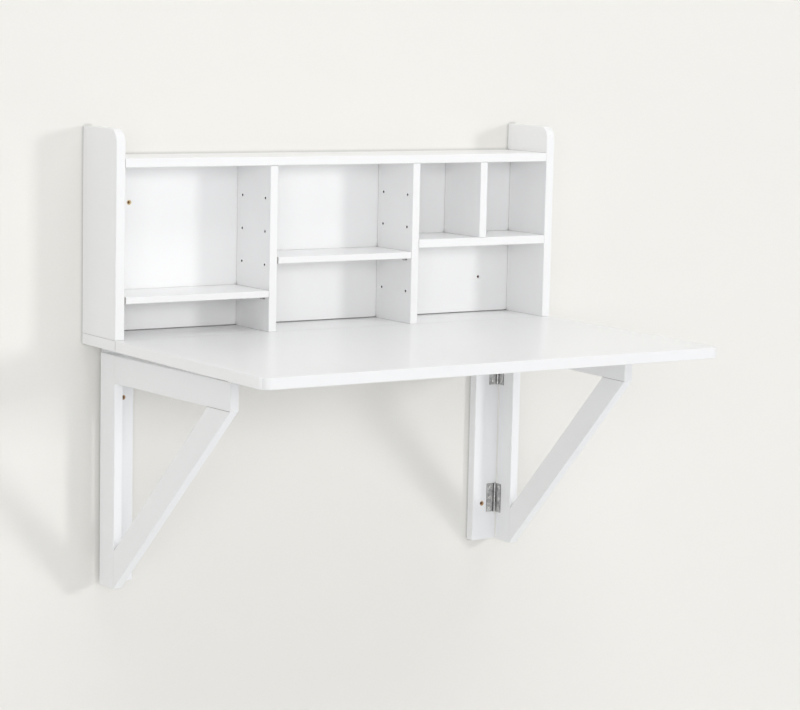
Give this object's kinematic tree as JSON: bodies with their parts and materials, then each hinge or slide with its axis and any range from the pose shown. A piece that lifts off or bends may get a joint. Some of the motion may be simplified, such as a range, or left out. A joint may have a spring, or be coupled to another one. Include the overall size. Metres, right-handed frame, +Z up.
{
  "type": "fold down wall desk",
  "caption": "White fold-down wall desk: a hutch of pigeon-holes on a fixed base board, a hinged flap, and gate brackets that swing out from wall cleats to carry it.",
  "frame": {"origin": "middle of the four wall holes of the back panel, on the plane of the wall", "axes": "+X along the wall to the sitter's right, +Y into the wall, +Z up"},
  "size_m": [1, 0.675, 0.873],
  "materials": {
    "white_lacquer": "satin lacquer",
    "plated_steel": "plated",
    "bare_wood": "bare"
  },
  "bodies": {
    "carcass": {"back_panel": "white_lacquer", "base_board": "white_lacquer", "base_leaf_1": "plated_steel", "base_leaf_2": "plated_steel", "base_leaf_3": "plated_steel", "base_screws": "plated_steel", "carcass_tenons": "bare_wood", "cubby_divider": "white_lacquer", "fixed_shelf": "white_lacquer", "left_cleat_screws": "plated_steel", "left_divider": "white_lacquer", "left_lower_cleat_leaf": "plated_steel", "left_shelf_pins": "plated_steel", "left_side_panel": "white_lacquer", "left_upper_cleat_leaf": "plated_steel", "left_wall_cleat": "white_lacquer", "middle_shelf_pins": "plated_steel", "right_cleat_screws": "plated_steel", "right_divider": "white_lacquer", "right_lower_cleat_leaf": "plated_steel", "right_side_panel": "white_lacquer", "right_upper_cleat_leaf": "plated_steel", "right_wall_cleat": "white_lacquer", "top_board": "white_lacquer"},
    "left_bracket": {"left_post": "white_lacquer", "left_rail": "white_lacquer", "left_brace": "white_lacquer", "left_bracket_tenons": "bare_wood", "left_upper_post_leaf": "plated_steel", "left_lower_post_leaf": "plated_steel", "left_post_screws": "plated_steel", "left_hinge_pins": "plated_steel"},
    "right_bracket": {"right_post": "white_lacquer", "right_rail": "white_lacquer", "right_brace": "white_lacquer", "right_bracket_tenons": "bare_wood", "right_upper_post_leaf": "plated_steel", "right_lower_post_leaf": "plated_steel", "right_post_screws": "plated_steel", "right_hinge_pins": "plated_steel"},
    "flap": {"flap_board": "white_lacquer", "flap_leaf_1": "plated_steel", "flap_leaf_2": "plated_steel", "flap_leaf_3": "plated_steel", "flap_hinge_pins": "plated_steel", "flap_screws": "plated_steel", "left_rest_block": "white_lacquer", "right_rest_block": "white_lacquer", "block_screws": "plated_steel"},
    "left_shelf": {"left_shelf": "white_lacquer"},
    "middle_shelf": {"middle_shelf": "white_lacquer"}
  },
  "joints": [
    {"name": "left_bracket_swing", "type": "hinge", "parent": "carcass", "child": "left_bracket", "pos_m": [-0.4542, -0.0228, -0.4185], "axis": [0, 0, 1], "range_deg": [0, 86.7]},
    {"name": "right_bracket_swing", "type": "hinge", "parent": "carcass", "child": "right_bracket", "pos_m": [0.4542, -0.0228, -0.4185], "axis": [0, 0, -1], "range_deg": [0, 86.7]},
    {"name": "flap_lift", "type": "hinge", "parent": "carcass", "child": "flap", "pos_m": [0, -0.1355, -0.1828], "axis": [1, 0, 0], "range_deg": [-2, 0]},
    {"name": "left_shelf_slide", "type": "slide", "parent": "carcass", "child": "left_shelf", "axis": [0, -1, 0], "range_m": [0, 0.135]},
    {"name": "middle_shelf_slide", "type": "slide", "parent": "carcass", "child": "middle_shelf", "axis": [0, -1, 0], "range_m": [0, 0.135]}
  ]
}
